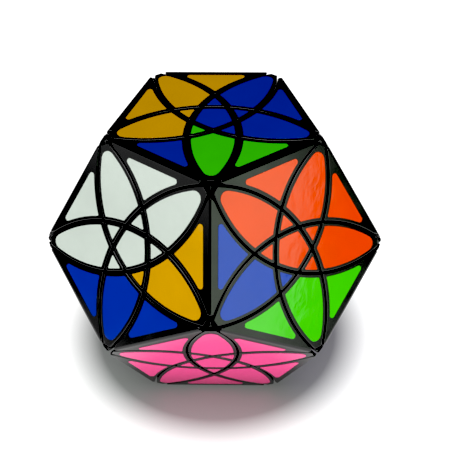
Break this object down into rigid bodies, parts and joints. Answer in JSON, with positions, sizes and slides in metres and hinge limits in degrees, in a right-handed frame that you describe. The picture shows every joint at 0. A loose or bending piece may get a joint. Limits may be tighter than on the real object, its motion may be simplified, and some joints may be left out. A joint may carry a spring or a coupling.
{
  "type": "dodecahedron twisty puzzle",
  "caption": "Dodecahedron puzzle with curved cuts whose corners turn on spring-loaded hubs about a central core, standing on one flat face.",
  "frame": {"origin": "centre of the puzzle, where all the corner axes meet, and the centre of its box", "axes": "+Z out of the middle of the top face, -Y towards the front, with the front corner of the top face and the edge below it in the plane x = 0"},
  "size_m": [0.1126, 0.1178, 0.0958],
  "materials": {
    "shell_plastic": "satin moulded black",
    "hub_plastic": "matt moulded black",
    "screw_steel": "bright",
    "spring_steel": "bright",
    "sticker_white": "glossy vinyl",
    "sticker_blue": "glossy vinyl",
    "sticker_green": "glossy vinyl",
    "sticker_yellow": "glossy vinyl",
    "sticker_orange": "glossy vinyl",
    "sticker_pink": "glossy vinyl",
    "sticker_red": "glossy vinyl",
    "sticker_purple": "glossy vinyl",
    "sticker_sky_blue": "glossy vinyl",
    "sticker_dark_green": "glossy vinyl",
    "sticker_grey": "glossy vinyl",
    "sticker_cream": "glossy vinyl"
  },
  "bodies": {
    "core_and_fixed_corners": {"core": "hub_plastic", "screw_top_front": "screw_steel", "screw_base_front_right": "screw_steel", "screw_high_back_right": "screw_steel", "screw_low_left": "screw_steel", "spring_top_front": "spring_steel", "spring_base_front_right": "spring_steel", "spring_high_back_right": "spring_steel", "spring_low_left": "spring_steel", "fixed_corner_top_back_left": "shell_plastic", "fixed_corner_high_right": "shell_plastic", "fixed_corner_low_front_left": "shell_plastic", "fixed_corner_base_back": "shell_plastic", "edge_top_and_upper_right": "shell_plastic", "edge_top_and_upper_back": "shell_plastic", "edge_top_and_upper_left": "shell_plastic", "edge_upper_front_right_and_upper_right": "shell_plastic", "edge_upper_front_right_and_lower_front": "shell_plastic", "edge_upper_front_right_and_lower_right": "shell_plastic", "edge_upper_right_and_lower_right": "shell_plastic", "edge_upper_back_and_upper_left": "shell_plastic", "edge_upper_back_and_lower_back_left": "shell_plastic", "edge_upper_left_and_upper_front_left": "shell_plastic", "edge_upper_front_left_and_lower_front": "shell_plastic", "edge_upper_front_left_and_lower_left": "shell_plastic", "edge_lower_front_and_lower_left": "shell_plastic", "edge_lower_right_and_lower_back_right": "shell_plastic", "edge_lower_back_right_and_lower_back_left": "shell_plastic", "edge_lower_back_right_and_bottom": "shell_plastic", "edge_lower_back_left_and_bottom": "shell_plastic", "edge_lower_left_and_bottom": "shell_plastic"},
    "corner_top_front": {"turning_corner_top_front": "shell_plastic", "centre_top": "shell_plastic", "centre_upper_front_right": "shell_plastic", "centre_upper_front_left": "shell_plastic", "edge_top_and_upper_front_right": "shell_plastic", "edge_top_and_upper_front_left": "shell_plastic", "edge_upper_front_right_and_upper_front_left": "shell_plastic"},
    "corner_base_front_right": {"turning_corner_base_front_right": "shell_plastic", "centre_lower_front": "shell_plastic", "centre_lower_right": "shell_plastic", "centre_bottom": "shell_plastic", "edge_lower_front_and_lower_right": "shell_plastic", "edge_lower_front_and_bottom": "shell_plastic", "edge_lower_right_and_bottom": "shell_plastic"},
    "corner_high_back_right": {"turning_corner_high_back_right": "shell_plastic", "centre_upper_right": "shell_plastic", "centre_upper_back": "shell_plastic", "centre_lower_back_right": "shell_plastic", "edge_upper_right_and_upper_back": "shell_plastic", "edge_upper_right_and_lower_back_right": "shell_plastic", "edge_upper_back_and_lower_back_right": "shell_plastic"},
    "corner_low_left": {"turning_corner_low_left": "shell_plastic", "centre_upper_left": "shell_plastic", "centre_lower_back_left": "shell_plastic", "centre_lower_left": "shell_plastic", "edge_upper_left_and_lower_back_left": "shell_plastic", "edge_upper_left_and_lower_left": "shell_plastic", "edge_lower_back_left_and_lower_left": "shell_plastic"}
  },
  "joints": [
    {"name": "turn_top_front", "type": "hinge", "parent": "core_and_fixed_corners", "child": "corner_top_front", "pos_m": [0, 0, 0], "axis": [0, -0.6071, 0.7947], "continuous": true},
    {"name": "turn_base_front_right", "type": "hinge", "parent": "core_and_fixed_corners", "child": "corner_base_front_right", "pos_m": [0, 0, 0], "axis": [0.3568, -0.4911, -0.7947], "continuous": true},
    {"name": "turn_high_back_right", "type": "hinge", "parent": "core_and_fixed_corners", "child": "corner_high_back_right", "pos_m": [0, 0, 0], "axis": [0.5774, 0.7947, 0.1876], "continuous": true},
    {"name": "turn_low_left", "type": "hinge", "parent": "core_and_fixed_corners", "child": "corner_low_left", "pos_m": [0, 0, 0], "axis": [-0.9342, 0.3035, -0.1876], "continuous": true}
  ]
}
